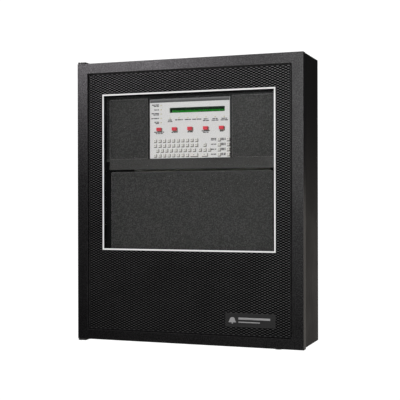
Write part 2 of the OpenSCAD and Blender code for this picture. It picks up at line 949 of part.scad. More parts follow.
module battery_leads() {
    r = 1.8;
    post_y = battery_front_y + 14;
    z = battery_top;
    rise = z + 10;
    supply_z = supply_bottom + 14 - 6;
    left_post = -battery_gap / 2 - battery_w + 14;
    inner_post = battery_gap / 2 + 14;
    lead_y = board_face_y - 6;
    color([0.5, 0.08, 0.08]) {
        wire([[left_post, post_y, z], [left_post, post_y, rise], [left_post, lead_y, rise],
            [left_post, lead_y, supply_z]], r);
        wire([[-inner_post, post_y, z], [-inner_post, post_y, rise], [inner_post, post_y, rise],
            [inner_post, post_y, z]], r);
    }
}

// flat cable from the controller board to the display board
module ribbon_cable() {
    rear = board_front_y + board_t;
    z0 = controller_top - 60;
    z1 = drop_z(70);
    t = 1.2;
    mid = (board_face_y + rear) / 2;
    color([0.6, 0.6, 0.62])
        translate([-60, 0, 0])
            rotate([90, 0, 90])
                linear_extrude(32)
                    polygon([
                        [board_face_y, z0],
                        [mid, z0],
                        [mid, z1 + t],
                        [rear, z1 + t],
                        [rear, z1],
                        [mid + t, z1],
                        [mid + t, z0 - t],
                        [board_face_y, z0 - t],
                    ]);
}

// ---- the door ----

// half width of the door's inner opening at a depth behind the face
function bevel_x(depth) = door_x - rail_side_w - depth * bevel_w / bevel_depth;

// a slab of the door's bevelled opening at one depth, grown outwards
module bevel_slab(depth, grow) {
    x = bevel_x(depth) + grow;
    sink = depth * bevel_w / bevel_depth;
    wide_block(x, face_y + depth, face_y + depth + thin, door_bottom + rail_bottom_w + sink - grow,
        door_top - rail_top_w - sink + grow);
}

module bevel_solid(from, to, grow) {
    hull() {
        bevel_slab(from, grow);
        bevel_slab(to - thin, grow);
    }
}

module door_frame() {
    bevel_grow = 1.4 * door_sheet;
    color([0.3, 0.29, 0.3])
        difference() {
            union() {
                difference() {
                    wide_block(door_x, face_y, door_rear_y, door_bottom, door_top);
                    wide_block(door_x - door_sheet, face_y + door_sheet, door_rear_y + 1,
                        door_bottom + door_sheet, door_top - door_sheet);
                }
                bevel_solid(door_sheet - 0.5, bevel_depth, bevel_grow);
                translate([hinge_x, hinge_y, door_top - hinge_boss_h - 1])
                    cylinder(r = hinge_boss_r, h = hinge_boss_h);
                translate([hinge_x, hinge_y, door_bottom + 1])
                    cylinder(r = hinge_boss_r, h = hinge_boss_h);
            }
            bevel_solid(-1, bevel_depth + 1, 0);
            for (z = [door_top - hinge_boss_h - 2, door_bottom - 1])
                translate([hinge_x, hinge_y, z])
                    cylinder(r = pin_r + pin_clearance, h = hinge_boss_h + 3);
            translate([lock_x, lock_y, door_bottom - 1])
                cylinder(r = barrel_r, h = door_sheet + 2);
        }
}

module door_skin() {
    wall_x = door_x - skin_wall_inset;
    wall_top = door_top - skin_wall_inset;
    wall_bottom = door_bottom + skin_wall_inset;
    rim_y = face_y + door_sheet;
    color([0.05, 0.05, 0.05])
        difference() {
            union() {
                wide_block(wall_x, rim_y, pane_y, wall_bottom, wall_top);
                wide_block(wall_x + skin_rim_w, rim_y, rim_y + skin_t, wall_bottom - skin_rim_w, wall_top + skin_rim_w);
            }
            wide_block(wall_x - skin_t, rim_y - 1, skin_y, wall_bottom + skin_t, wall_top - skin_t);
            window_cut(trim_t + layer_clearance, rim_y, pane_y + 1);
            retainer_screw_places()
                rod_y(0, 0, retainer_screw_r, rim_y, pane_y + 1);
        }
}

module door_grille() {
    edge = grille_inset;
    color([0.13, 0.13, 0.13])
        difference() {
            wide_block(door_x - edge, grille_y, skin_y, door_bottom + edge, door_top - edge);
            window_cut(trim_t + layer_clearance, grille_y - 1, skin_y + 1);
        }
}

module window_trim() {
    color([0.93, 0.93, 0.92]) {
        window_ring(0, trim_w, trim_y, grille_y);
        window_ring(0, trim_t, grille_y, pane_y);
    }
}

module window_pane() {
    color([0.8, 0.85, 0.85, 0.25])
        window_cut(pane_overlap, pane_y, retainer_y);
}

module window_retainer() {
    edge = pane_overlap + 1;
    color([0.1, 0.1, 0.1])
        difference() {
            union() {
                window_ring(4, edge + retainer_sheet, retainer_y, retainer_y + retainer_sheet);
                window_ring(edge, edge + retainer_sheet, pane_y, retainer_y + retainer_sheet);
                window_ring(edge, edge + retainer_flange, pane_y, pane_y + retainer_sheet);
            }
            retainer_screw_places()
                rod_y(0, 0, retainer_screw_r, pane_y - 1, retainer_y + 3);
        }
}

module retainer_screw_places() {
    reach = pane_overlap + 1 + retainer_flange / 2 + 0.8;
    mid_z = (window_top + window_bottom) / 2;
    for (s = [-1, 1]) {
        for (i = [-1.5 : 1.5])
            translate([i * window_w / 4, 0, mid_z + s * (window_h / 2 + reach)])
                children();
        for (i = [-1 : 1])
            translate([s * (window_x + reach), 0, mid_z + i * window_h / 3])
                children();
    }
}

module retainer_screws() {
    head_y = pane_y + retainer_sheet;
    color([0.6, 0.6, 0.6])
        retainer_screw_places() {
            rod_y(0, 0, retainer_screw_r, skin_y, head_y);
            rod_y(0, 0, 3, head_y, head_y + 1.6);
        }
}

// a black plaque with a raised bell and two plain bars
module badge() {
    w = 129;
    h = 34;
    right = door_x - 72.5;
    bottom = door_bottom + 49.5;
    base_y = grille_y - 1;
    cx = right - w / 2;
    cz = bottom + h / 2;
    bell_x = right - w + 18;
    color([0.06, 0.06, 0.06])
        rounded_plate(cx, cz, w, h, 2, base_y, grille_y);
    color([0.7, 0.7, 0.7]) {
        translate([bell_x, base_y, cz])
            rotate([90, 0, 0])
                linear_extrude(0.5)
                    bell_outline();
        for (bar = [[4, 82, 5], [-5, 56, 2.5]])
            block([bell_x + 16, base_y - 0.5, cz + bar[0] - bar[2] / 2],
                [bell_x + 16 + bar[1], base_y, cz + bar[0] + bar[2] / 2]);
    }
}

// a plain bell: dome, skirt and clapper
module bell_outline() {
    intersection() {
        circle(r = 7);
        translate([-7, 0])
            square([14, 7]);
    }
    polygon([[-7, 0], [7, 0], [10, -6], [-10, -6]]);
    translate([0, -7])
        circle(r = 2);
}

// ---- the lock ----

module lock_body() {
    flange_top = door_bottom + door_sheet;
    color([0.72, 0.72, 0.73]) {
        difference() {
            union() {
                translate([lock_x, lock_y, door_bottom - lock_head_h])
                    cylinder(r = lock_head_r, h = lock_head_h);
                translate([lock_x, lock_y, door_bottom])
                    cylinder(r = barrel_r, h = barrel_top - 0.3 - door_bottom);
            }
            translate([lock_x, lock_y, door_bottom - lock_head_h - 1])
                cylinder(r = plug_r + plug_clearance, h = barrel_top - door_bottom + lock_head_h + 2);
        }
        difference() {
            translate([lock_x, lock_y, flange_top])
                cylinder(r = 8 / cos(30), h = lock_nut_h, $fn = 6);
            translate([lock_x, lock_y, flange_top - 1])
                cylinder(r = barrel_r, h = lock_nut_h + 2);
        }
    }
}

module lock_plug() {
    bottom = door_bottom - lock_head_h + 0.4;
    color([0.78, 0.7, 0.45])
        difference() {
            union() {
                translate([lock_x, lock_y, bottom])
                    cylinder(r = plug_r, h = barrel_top - bottom);
                translate([lock_x, lock_y, barrel_top + cam_t])
                    cylinder(r = 3, h = 1.6);
                translate([lock_x, lock_y, barrel_top])
                    cylinder(r = 2, h = cam_t);
            }
            block([lock_x - 0.6, lock_y - 2.8, bottom - 1], [lock_x + 0.6, lock_y + 2.8, bottom + 7]);
        }
}

// at rest the cam points at the cabinet and is clear of the strike
module lock_cam() {
    color([0.6, 0.6, 0.62])
        difference() {
            union() {
                translate([lock_x, lock_y, barrel_top])
                    cylinder(r = cam_hub_r, h = cam_t);
                block([lock_x - cam_half_w, lock_y, barrel_top],
                    [lock_x + cam_half_w, lock_y + cam_reach - 0.5, barrel_top + cam_t]);
            }
            translate([lock_x, lock_y, barrel_top - 1])
                cylinder(r = 2, h = cam_t + 2);
        }
}

backbox();
knockout_slugs();
hinge_brackets();
hinge_pins();
lock_strike();
studs_and_nuts();
chassis_plate();
dress_rails();
upper_dress_panel();
blank_plate_left();
blank_plate_right();
lower_dress_panel();
dress_screws();
display_faceplate();
keypad_mat();
lcd_module();
lcd_window();
display_board();
status_leds();
sounder();
board_spacers();
controller_board();
board_components();
terminal_blocks();
power_supply_board();
transformer();
heatsink();
capacitors();
battery_left();
battery_right();
battery_leads();
ribbon_cable();
door_frame();
door_skin();
door_grille();
window_trim();
window_pane();
window_retainer();
retainer_screws();
badge();
lock_body();
lock_plug();
lock_cam();
event_button(1);  // event_button_1
event_button(2);  // event_button_2
event_button(3);  // event_button_3
event_button(4);  // event_button_4
event_button(5);  // event_button_5
letter_keys(0);  // letter_keys_row_1
letter_keys(1);  // letter_keys_row_2
letter_keys(2);  // letter_keys_row_3
letter_keys(3);  // letter_keys_row_4
key_cap(space_key_x, 3, space_key_w);  // space_key
key_cap(arrow_x, 3, enter_key_w);  // enter_key
key_cap(arrow_x, 1);  // up_key
key_cap(arrow_x - key_pitch, 2);  // left_key
key_cap(arrow_x, 2);  // down_key
key_cap(arrow_x + key_pitch, 2);  // right_key
function_keys(0);  // function_keys_inner
function_keys(1);  // function_keys_outer
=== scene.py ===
import itertools
import json
import math
import random

import bmesh
import bpy
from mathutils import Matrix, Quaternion, Vector


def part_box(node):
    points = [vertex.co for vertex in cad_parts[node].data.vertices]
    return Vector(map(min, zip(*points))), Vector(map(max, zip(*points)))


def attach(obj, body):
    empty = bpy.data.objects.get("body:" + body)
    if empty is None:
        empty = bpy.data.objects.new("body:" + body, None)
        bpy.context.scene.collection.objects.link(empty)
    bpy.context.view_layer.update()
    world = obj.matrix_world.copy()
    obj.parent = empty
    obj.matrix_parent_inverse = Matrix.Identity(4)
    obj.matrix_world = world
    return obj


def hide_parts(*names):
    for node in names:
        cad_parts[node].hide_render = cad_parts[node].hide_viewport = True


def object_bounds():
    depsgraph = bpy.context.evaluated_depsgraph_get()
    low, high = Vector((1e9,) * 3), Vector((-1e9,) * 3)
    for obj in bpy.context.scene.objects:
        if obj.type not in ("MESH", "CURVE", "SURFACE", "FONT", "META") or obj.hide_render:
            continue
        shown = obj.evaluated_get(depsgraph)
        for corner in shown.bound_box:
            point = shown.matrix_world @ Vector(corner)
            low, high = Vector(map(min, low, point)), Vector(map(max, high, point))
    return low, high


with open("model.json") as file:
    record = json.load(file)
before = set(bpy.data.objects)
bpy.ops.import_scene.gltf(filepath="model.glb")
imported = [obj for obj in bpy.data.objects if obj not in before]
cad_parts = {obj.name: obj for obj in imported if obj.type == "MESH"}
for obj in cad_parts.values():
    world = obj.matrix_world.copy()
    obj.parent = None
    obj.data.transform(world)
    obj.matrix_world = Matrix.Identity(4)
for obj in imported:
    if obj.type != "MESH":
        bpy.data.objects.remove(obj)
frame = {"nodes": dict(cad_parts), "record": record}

cad_low, cad_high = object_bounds()
MM = 0.001
SAME_PLACE = 1e-6  # points nearer than this are one point
SURROUND = 1.1  # brightness of the white surround, and of the floor, as the camera sees them
KEY_NODES = [n for n in frame["nodes"] if n.endswith("_key") or "_keys_" in n]
BUTTON_NODES = [n for n in frame["nodes"] if n.startswith("event_button")]


# ---- camera, light and stage ----

def aim(obj, target):
    """Turns a camera or lamp so that it looks at a point."""
    obj.rotation_mode = "QUATERNION"
    obj.rotation_quaternion = (Vector(target) - obj.location).to_track_quat("-Z", "Y")


def add_camera():
    """A long lens a little to the right of the door, level with the middle of the cabinet."""
    azimuth = math.radians(20.12)
    roll = math.radians(-0.12)
    distance = 2.355
    rise = 0.0002
    target = Vector((0.0388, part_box("door_frame")[0].y, 0.0011))
    data = bpy.data.cameras.new("camera")
    data.sensor_width = 36
    data.lens = 83.88
    data.clip_start = 0.05
    data.clip_end = 100
    camera = bpy.data.objects.new("camera", data)
    camera.location = target + distance * Vector((math.sin(azimuth), -math.cos(azimuth), rise))
    aim(camera, target)
    camera.rotation_quaternion @= Quaternion((0, 0, 1), roll)
    bpy.context.scene.collection.objects.link(camera)
    bpy.context.scene.camera = camera


def add_softbox(name, azimuth, elevation, distance, size, power, colour=(1, 1, 1)):
    """A square lamp aimed at the door's middle. Azimuth 0 is straight in front, 90 is on the right."""
    a, e = math.radians(azimuth), math.radians(elevation)
    data = bpy.data.lights.new(name, "AREA")
    data.shape = "SQUARE"
    data.size = size
    data.energy = power
    data.color = colour
    lamp = bpy.data.objects.new(name, data)
    centre = Vector((0, cad_low.y, 0))
    direction = Vector((math.sin(a) * math.cos(e), -math.cos(a) * math.cos(e), math.sin(e)))
    lamp.location = centre + distance * direction
    aim(lamp, centre)
    lamp.visible_camera = False
    bpy.context.scene.collection.objects.link(lamp)


def add_lights():
    """A main lamp in front, a fill on the left, a warm one behind the right side, and one for the back."""
    add_softbox("main_softbox", azimuth=10.5, elevation=12, distance=3.0, size=0.63, power=62)
    add_softbox("left_softbox", azimuth=-28.5, elevation=23.3, distance=2.7, size=0.9, power=21,
        colour=(1, 0.95, 1))
    add_softbox("side_softbox", azimuth=150, elevation=-12, distance=2.6, size=1.2, power=2,
        colour=(1, 0.93, 0.86))
    add_softbox("back_softbox", azimuth=196, elevation=8, distance=3.0, size=1.4, power=80)


def add_world():
    """A white surround that the camera sees, and a dimmer one that lights the object."""
    world = bpy.data.worlds.new("studio")
    world.use_nodes = True
    tree = world.node_tree
    tree.nodes.clear()
    out = tree.nodes.new("ShaderNodeOutputWorld")
    path = tree.nodes.new("ShaderNodeLightPath")
    seen = tree.nodes.new("ShaderNodeBackground")
    seen.inputs["Color"].default_value = (1, 1, 1, 1)
    seen.inputs["Strength"].default_value = SURROUND
    ambient = tree.nodes.new("ShaderNodeBackground")
    ambient.inputs["Color"].default_value = (0.96, 0.98, 1, 1)
    ambient.inputs["Strength"].default_value = 0.03
    mix_shaders(tree, path.outputs["Is Camera Ray"], ambient, seen, out)
    bpy.context.scene.world = world
    bpy.context.scene.view_settings.view_transform = "Standard"
    bpy.context.scene.view_settings.look = "None"


def add_floor():
    """A plain pale floor, as far below the panel as a wall-mounted cabinet hangs."""
    hang = 1.1
    half_size = 15
    bm = bmesh.new()
    bmesh.ops.create_grid(bm, x_segments=4, y_segments=4, size=half_size)
    data = bpy.data.meshes.new("floor")
    bm.to_mesh(data)
    bm.free()
    floor = bpy.data.objects.new("floor", data)
    floor.location = (0, 0, cad_low.z - hang)
    bpy.context.scene.collection.objects.link(floor)
    data.materials.append(floor_pale())


# ---- shared shader effects ----

def new_group(name, inputs, outputs):
    """An empty node group with float inputs (name: default) and float outputs."""
    group = bpy.data.node_groups.new(name, "ShaderNodeTree")
    for socket, value in inputs.items():
        made = group.interface.new_socket(name=socket, in_out="INPUT", socket_type="NodeSocketFloat")
        made.default_value = value
    for socket in outputs:
        group.interface.new_socket(name=socket, in_out="OUTPUT", socket_type="NodeSocketFloat")
    source = group.nodes.new("NodeGroupInput")
    sink = group.nodes.new("NodeGroupOutput")
    return group, source, sink


def mix_shaders(tree, factor, first, second, out):
    """Mixes the shaders of two nodes into an output node: the first at 0, the second at 1."""
    mix = tree.nodes.new("ShaderNodeMixShader")
    tree.links.new(factor, mix.inputs["Fac"])
    tree.links.new(first.outputs[0], mix.inputs[1])
    tree.links.new(second.outputs[0], mix.inputs[2])
    tree.links.new(mix.outputs[0], out.inputs["Surface"])


def add_math(tree, operation, a, b=None, clamp=False):
    """A Math node fed by sockets or numbers. Returns its output."""
    node = tree.nodes.new("ShaderNodeMath")
    node.operation = operation
    node.use_clamp = clamp
    for slot, value in enumerate(v for v in (a, b) if v is not None):
        if isinstance(value, (int, float)):
            node.inputs[slot].default_value = value
        else:
            tree.links.new(value, node.inputs[slot])
    return node.outputs[0]


def add_range(tree, value, low, high, to_low=0.0, to_high=1.0):
    """A clamped Map Range node, from low and high to to_low and to_high. Returns its output."""
    node = tree.nodes.new("ShaderNodeMapRange")
    node.clamp = True
    for socket, number in zip(("From Min", "From Max", "To Min", "To Max"), (low, high, to_low, to_high)):
        node.inputs[socket].default_value = number
    tree.links.new(value, node.inputs["Value"])
    return node.outputs["Result"]


def add_noise(tree, scale, detail=3.0, stretch=(1, 1, 1)):
    """Noise in the object's own coordinates, with features of 1/scale metres."""
    place = tree.nodes.new("ShaderNodeTexCoord")
    mapping = tree.nodes.new("ShaderNodeMapping")
    mapping.inputs["Scale"].default_value = stretch
    noise = tree.nodes.new("ShaderNodeTexNoise")
    noise.inputs["Detail"].default_value = detail
    tree.links.new(place.outputs["Object"], mapping.inputs["Vector"])
    tree.links.new(mapping.outputs["Vector"], noise.inputs["Vector"])
    if isinstance(scale, (int, float)):
        noise.inputs["Scale"].default_value = scale
    else:
        tree.links.new(scale, noise.inputs["Scale"])
    return noise.outputs["Fac"]


def make_grain_group():
    """Orange-peel texture of sprayed or moulded surfaces: a height, and a speckle mask."""
    group, source, sink = new_group("surface_grain", {"Scale": 900.0}, ["Height", "Mask"])
    coarse = add_noise(group, source.outputs["Scale"], detail=2.0)
    finer = add_math(group, "MULTIPLY", source.outputs["Scale"], 2.7)
    fine = add_noise(group, finer, detail=2.0)
    large = add_math(group, "MULTIPLY", coarse, 0.65)
    small = add_math(group, "MULTIPLY", fine, 0.35)
    group.links.new(add_math(group, "ADD", large, small), sink.inputs["Height"])
    group.links.new(add_range(group, fine, 0.42, 0.66), sink.inputs["Mask"])
    return group


def make_edge_wear_and_highlight_group():
    """Sharp edges, for rubbed paint and for painted highlights along them: the difference between the true
    normal and a rounded one.
    """
    group, source, sink = new_group("edge_wear_and_highlight", {"Amount": 1.0, "Radius": 1.2 * MM}, ["Mask"])
    bevel = group.nodes.new("ShaderNodeBevel")
    bevel.samples = 4
    group.links.new(source.outputs["Radius"], bevel.inputs["Radius"])
    true_normal = group.nodes.new("ShaderNodeNewGeometry")
    dot = group.nodes.new("ShaderNodeVectorMath")
    dot.operation = "DOT_PRODUCT"
    group.links.new(bevel.outputs["Normal"], dot.inputs[0])
    group.links.new(true_normal.outputs["True Normal"], dot.inputs[1])
    edge = add_range(group, dot.outputs["Value"], 0.998, 0.88)
    patchy = add_range(group, add_noise(group, 140.0, detail=4.0), 0.42, 0.6, 0.5, 1.0)
    # Patchy edges: rubbed paint, and on the door and dress paints a painted highlight.
    worn = add_math(group, "MULTIPLY", edge, patchy)
    scaled = add_math(group, "MULTIPLY", worn, source.outputs["Amount"], clamp=True)
    group.links.new(scaled, sink.inputs["Mask"])
    return group


def make_handling_group():
    """Large soft patches, from wiping and fingers, for roughness and tone."""
    group, source, sink = new_group("handling_marks", {"Scale": 9.0}, ["Mask"])
    patches = add_noise(group, source.outputs["Scale"], detail=5.0)
    group.links.new(add_range(group, patches, 0.36, 0.64), sink.inputs["Mask"])
    return group


def make_brushed_group():
    """Fine scratches along one axis of the object, for rolled or brushed metal."""
    group, source, sink = new_group("brushed_lines", {"Scale": 400.0}, ["Mask"])
    lines = add_noise(group, source.outputs["Scale"], detail=2.0, stretch=(0.04, 1, 1))
    group.links.new(add_range(group, lines, 0.35, 0.65), sink.inputs["Mask"])
    return group


def make_zone_group():
    """Ramps from black to white between two heights of the object, and between two depths."""
    group, source, sink = new_group("object_zone", {"Low": 0.0, "High": 1.0}, ["Above", "Behind"])
    place = group.nodes.new("ShaderNodeTexCoord")
    split = group.nodes.new("ShaderNodeSeparateXYZ")
    group.links.new(place.outputs["Object"], split.inputs[0])
    for axis, mask in (("Z", "Above"), ("Y", "Behind")):
        ramp = group.nodes.new("ShaderNodeMapRange")
        group.links.new(split.outputs[axis], ramp.inputs["Value"])
        group.links.new(source.outputs["Low"], ramp.inputs["From Min"])
        group.links.new(source.outputs["High"], ramp.inputs["From Max"])
        group.links.new(ramp.outputs["Result"], sink.inputs[mask])
    return group


GRAIN = make_grain_group()
EDGE_WEAR_AND_HIGHLIGHT = make_edge_wear_and_highlight_group()
HANDLING = make_handling_group()
BRUSHED = make_brushed_group()
ZONE = make_zone_group()


# ---- materials ----

class Finish:
    """A material with a Principled shader and the shared effects wired to it."""

    def __init__(self, name, colour, roughness, metallic=0.0, specular=0.5):
        self.material = bpy.data.materials.new(name)
        self.material.use_nodes = True
        self.tree = self.material.node_tree
        self.shader = self.tree.nodes["Principled BSDF"]
        self.shader.inputs["Metallic"].default_value = metallic
        self.shader.inputs["Specular IOR Level"].default_value = specular
        self.shader.inputs["Roughness"].default_value = roughness
        self.roughness = roughness
        self.colour = self.flat(colour)
        self.rough = None

    def flat(self, colour):
        """A plain colour. Returns its output."""
        node = self.tree.nodes.new("ShaderNodeRGB")
        node.outputs[0].default_value = (*colour, 1)
        return node.outputs[0]

    def group(self, group, **values):
        """Places a shared effect and sets its inputs. Returns the node."""
        node = self.tree.nodes.new("ShaderNodeGroup")
        node.node_tree = group
        for socket, value in values.items():
            node.inputs[socket].default_value = value
        return node

    def tint(self, mask, colour, amount=1.0):
        """Mixes another colour in where the mask is white."""
        mix = self.tree.nodes.new("ShaderNodeMix")
        mix.data_type = "RGBA"
        self.tree.links.new(add_math(self.tree, "MULTIPLY", mask, amount), mix.inputs["Factor"])
        self.tree.links.new(self.colour, mix.inputs["A"])
        mix.inputs["B"].default_value = (*colour, 1)
        self.colour = mix.outputs["Result"]
        return self

    def roughen(self, mask, change):
        """Adds change to the roughness where the mask is white."""
        base = self.roughness if self.rough is None else self.rough
        added = add_math(self.tree, "MULTIPLY", mask, change)
        self.rough = add_math(self.tree, "ADD", added, base, clamp=True)
        return self

    def grain(self, scale, depth, speckle_colour, speckle=0.5, roughen=0.08):
        """Surface texture with a bump of a given depth in metres, and speckles of another colour."""
        node = self.group(GRAIN, Scale=scale)
        bump = self.tree.nodes.new("ShaderNodeBump")
        bump.inputs["Strength"].default_value = 1.0
        bump.inputs["Distance"].default_value = depth
        self.tree.links.new(node.outputs["Height"], bump.inputs["Height"])
        self.tree.links.new(bump.outputs["Normal"], self.shader.inputs["Normal"])
        self.tint(node.outputs["Mask"], speckle_colour, speckle)
        return self.roughen(node.outputs["Mask"], roughen)

    def wear_and_highlight(self, colour, amount=0.6, radius=1.2 * MM):
        """A lighter or darker colour along the edges, as far from them as the radius: worn edges, and on the
        door and dress paints a painted highlight.
        """
        node = self.group(EDGE_WEAR_AND_HIGHLIGHT, Amount=amount, Radius=radius)
        return self.tint(node.outputs["Mask"], colour)

    def handled(self, colour, amount=0.25, scale=9.0, roughen=0.08):
        """Soft patches of another tone and roughness."""
        node = self.group(HANDLING, Scale=scale)
        self.tint(node.outputs["Mask"], colour, amount)
        return self.roughen(node.outputs["Mask"], roughen)

    def brushed(self, colour, scale=400.0, amount=0.5, roughen=0.12):
        """Fine lines of another tone and roughness."""
        node = self.group(BRUSHED, Scale=scale)
        self.tint(node.outputs["Mask"], colour, amount)
        return self.roughen(node.outputs["Mask"], roughen)

    def mottled(self, colour, amount, gloss):
        """Blotches a few millimetres wide, paler and glossier, as textured enamel has them."""
        blotches = 130
        mask = self.group(GRAIN, Scale=blotches).outputs["Mask"]
        level = self.shader.inputs["Specular IOR Level"]
        shine = add_math(self.tree, "ADD", add_math(self.tree, "MULTIPLY", mask, gloss), level.default_value)
        self.tree.links.new(shine, level)
        return self.tint(mask, colour, amount)

    def above(self, low, high, colour):
        """Another colour above a height of the object, with a ramp from low to high."""
        return self.tint(self.group(ZONE, Low=low, High=high).outputs["Above"], colour)

    def behind(self, front, back, colour):
        """Another colour behind a depth of the object, with a ramp from front to back."""
        return self.tint(self.group(ZONE, Low=front, High=back).outputs["Behind"], colour)

    def done(self):
        """Wires colour and roughness to the shader. Returns the material."""
        self.tree.links.new(self.colour, self.shader.inputs["Base Color"])
        if self.rough is not None:
            self.tree.links.new(self.rough, self.shader.inputs["Roughness"])
        return self.material


def floor_pale():
    """Pale and dull, and seen by the camera as bright as the surround."""
    floor = Finish("floor_pale", (0.6, 0.6, 0.59), 0.8).handled((0.57, 0.57, 0.56), 0.3, scale=0.4)
    tree = floor.tree
    path = tree.nodes.new("ShaderNodeLightPath")
    bright = tree.nodes.new("ShaderNodeEmission")
    bright.inputs["Strength"].default_value = SURROUND
    mix_shaders(tree, path.outputs["Is Camera Ray"], floor.shader, bright, tree.nodes["Material Output"])
    return floor.done()


def door_paint():
    """Finely textured charcoal enamel, with paler speckles in its grain, and a painted highlight along its
    edges, patchy like rubbed paint.
    """
    paint = Finish("door_paint", (0.0008, 0.0007, 0.0008), 0.27, specular=0.36)
    paint.grain(1500, 0.00005, (0.004, 0.0036, 0.004), speckle=0.4, roughen=0.05)
    paint.mottled((0.004, 0.0035, 0.004), 0.6, gloss=0.4)
    # The pale edge colour here is a painted highlight of the door's bevelled edges.
    return paint.handled((0.002, 0.0018, 0.0019), 0.4, roughen=0.03).wear_and_highlight((0.1, 0.1, 0.1), 0.8).done()


def cabinet_paint():
    """The same enamel on the cabinet, a little warmer and duller."""
    paint = Finish("cabinet_paint", (0.006, 0.0055, 0.005), 0.42)
    paint.grain(1500, 0.00008, (0.025, 0.023, 0.02), speckle=0.35)
    return paint.handled((0.014, 0.012, 0.01), 0.4).wear_and_highlight((0.05, 0.045, 0.04), 0.4).done()


def dress_paint(name, colour, edge):
    """Dark grey textured paint of the plates and dress panels, with a painted highlight along their rolled
    edges, before done().
    """
    paint = Finish(name, colour, 0.55, specular=0.12)
    paint.grain(1500, 0.00008, (0.03, 0.03, 0.028), speckle=0.35)
    paint.mottled((0.04, 0.039, 0.036), 0.4, gloss=0.2).handled((0.02, 0.02, 0.018), 0.35)
    # The pale edge colour is a painted highlight of the rolled edges; edge sets its amount.
    return paint.wear_and_highlight((0.17, 0.17, 0.157), edge, radius=2.2 * MM)


def upper_panel_paint_and_shade():
    """Dress paint on the strip under the plates, and painted shade above it: black round the openings, where
    they lie in shadow.
    """
    band_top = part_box("blank_plate_left")[0].z
    paint = dress_paint("upper_panel_paint_and_shade", (0.026, 0.026, 0.024), 0.15)
    # Black above the band's top: painted shade round the plates.
    return paint.above(band_top, band_top + MM, (0.0015, 0.0018, 0.002)).done()


def inner_black_paint():
    """Dull black, on what stays in the dark behind the mesh and the glass."""
    paint = Finish("inner_black_paint", (0.0012, 0.0014, 0.0015), 0.7, specular=0.04)
    return paint.grain(1300, 0.00008, (0.003, 0.003, 0.003)).wear_and_highlight((0.01, 0.01, 0.01), 0.3).done()


def grille_black():
    """Dull black on the strands of the expanded metal."""
    paint = Finish("grille_black", (0.009, 0.009, 0.009), 0.75, specular=0.02)
    paint.grain(1800, 0.00005, (0.014, 0.014, 0.014))
    return paint.handled((0.012, 0.012, 0.012), 0.4, scale=14).done()


def grille_bonds():
    """The bonds between the strands, which flattening leaves smooth, so that they shine a little; their
    colour, a little paler than the strands', is a painted highlight.
    """
    # Paler than the strands: painted highlight of the bonds.
    paint = Finish("grille_bonds", (0.016, 0.016, 0.016), 0.34, specular=1.0)
    paint.grain(1800, 0.00003, (0.02, 0.02, 0.02))
    return paint.handled((0.014, 0.014, 0.014), 0.4, scale=14).done()


def white_border():
    """White on the border's face only; its return towards the glass is black."""
    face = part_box("window_trim")[0].y
    paint = Finish("white_border", (0.8, 0.8, 0.79), 0.5, specular=0.2)
    paint.grain(1400, 0.00004, (0.75, 0.75, 0.74))
    return paint.behind(face + 0.5 * MM, face + 0.7 * MM, (0.01, 0.01, 0.01)).done()


def faceplate_print():
    """Matt printed overlay, pale grey with the faintest grain."""
    plate = Finish("faceplate_print", (0.7, 0.695, 0.68), 0.6, specular=0.3)
    plate.grain(2400, 0.00003, (0.65, 0.645, 0.63), speckle=0.4)
    return plate.handled((0.67, 0.665, 0.65), 0.35, scale=14).done()


def legend_ink():
    """Black print of the captions."""
    ink = Finish("legend_ink", (0.04, 0.04, 0.04), 0.7, specular=0.1)
    return ink.grain(3000, 0.00002, (0.06, 0.06, 0.06)).done()


def band_ink():
    """Grey print of the strip along the faceplate's top, paler towards its upper edge."""
    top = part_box("display_faceplate")[1].z
    ink = Finish("band_ink", (0.08, 0.08, 0.08), 0.7, specular=0.1)
    ink.grain(2400, 0.00002, (0.1, 0.1, 0.1))
    return ink.above(top - 6 * MM, top, (0.22, 0.22, 0.22)).done()


def painted_shadow_ink():
    """Brownish painted shadow of the keys and buttons."""
    # Colour of the painted shadow on the faceplate.
    ink = Finish("painted_shadow_ink", (0.1, 0.088, 0.07), 0.6)
    return ink.grain(2400, 0.00002, (0.14, 0.125, 0.1)).done()


def key_rubber():
    """Pale grey silicone rubber of the keys."""
    rubber = Finish("key_rubber", (0.74, 0.73, 0.69), 0.6)
    rubber.grain(2600, 0.00003, (0.66, 0.65, 0.61), speckle=0.4)
    return rubber.handled((0.62, 0.6, 0.55), 0.3, scale=60).wear_and_highlight((0.8, 0.79, 0.75), 0.4).done()


def key_print():
    """Grey print on the keys."""
    ink = Finish("key_print", (0.3, 0.29, 0.27), 0.6, specular=0.3)
    return ink.grain(2600, 0.00002, (0.4, 0.39, 0.36)).done()


def dark_rubber():
    """Dull dark rubber."""
    return Finish("dark_rubber", (0.03, 0.03, 0.03), 0.7).grain(1500, 0.00005, (0.05, 0.05, 0.05)).done()


def red_button():
    """Red moulded plastic, a little rubbed."""
    plastic = Finish("red_button", (0.62, 0.035, 0.055), 0.5, specular=0.3)
    plastic.grain(2200, 0.00003, (0.66, 0.06, 0.08), speckle=0.4)
    return plastic.handled((0.5, 0.03, 0.045), 0.4, scale=50).wear_and_highlight((0.7, 0.16, 0.17), 0.4).done()


def lcd_green():
    """Backlit display glass: a green glow that is uneven from cell to cell."""
    glass = Finish("lcd_green", (0.008, 0.2, 0.012), 0.6, specular=0.05)
    glass.grain(700, 0.00001, (0.012, 0.28, 0.02), speckle=0.6)
    glass.shader.inputs["Emission Strength"].default_value = 0.02
    glow = glass.group(HANDLING, Scale=26.0)
    mix = glass.tree.nodes.new("ShaderNodeMix")
    mix.data_type = "RGBA"
    mix.inputs["A"].default_value = (0.12, 0.5, 0.14, 1)
    mix.inputs["B"].default_value = (0.2, 0.66, 0.22, 1)
    glass.tree.links.new(glow.outputs["Mask"], mix.inputs["Factor"])
    glass.tree.links.new(mix.outputs["Result"], glass.shader.inputs["Emission Color"])
    return glass.done()


